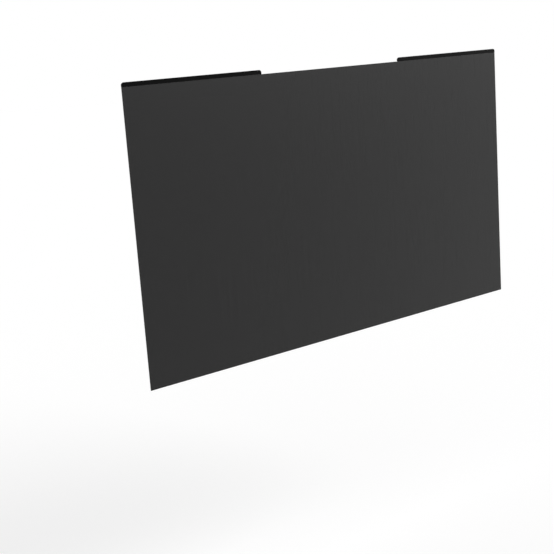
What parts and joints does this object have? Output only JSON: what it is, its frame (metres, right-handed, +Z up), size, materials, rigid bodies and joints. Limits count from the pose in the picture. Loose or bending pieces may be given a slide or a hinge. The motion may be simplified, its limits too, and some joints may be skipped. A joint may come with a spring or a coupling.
{
  "type": "privacy filter",
  "caption": "Dark louvre film for a desk monitor: a flat wide sheet with black magnetic strips at the ends of its top edge, which hold it upright on the bezel.",
  "frame": {"origin": "middle of the sheet's width and height, on the plane of the magnets' backs; the centre of the whole part's box lies about 2 mm higher, by half the height of the ears above the sheet", "axes": "+X to the right as seen from the front, +Y from the viewer towards the screen, +Z up"},
  "size_m": [0.527, 0.0019, 0.3008],
  "materials": {
    "louvre_film": "dark anti-glare louvre film, almost opaque from the side",
    "strip_plastic": "satin black, thin cut film",
    "magnet_rubber": "ferrite-filled rubber, rolled",
    "bond_tape": "black acrylic double-sided tape"
  },
  "bodies": {
    "root": {"filter_sheet": "louvre_film", "left_mount_strip": "strip_plastic", "right_mount_strip": "strip_plastic", "left_magnet_bar": "magnet_rubber", "right_magnet_bar": "magnet_rubber", "left_bond_tape": "bond_tape", "right_bond_tape": "bond_tape"}
  },
  "joints": []
}
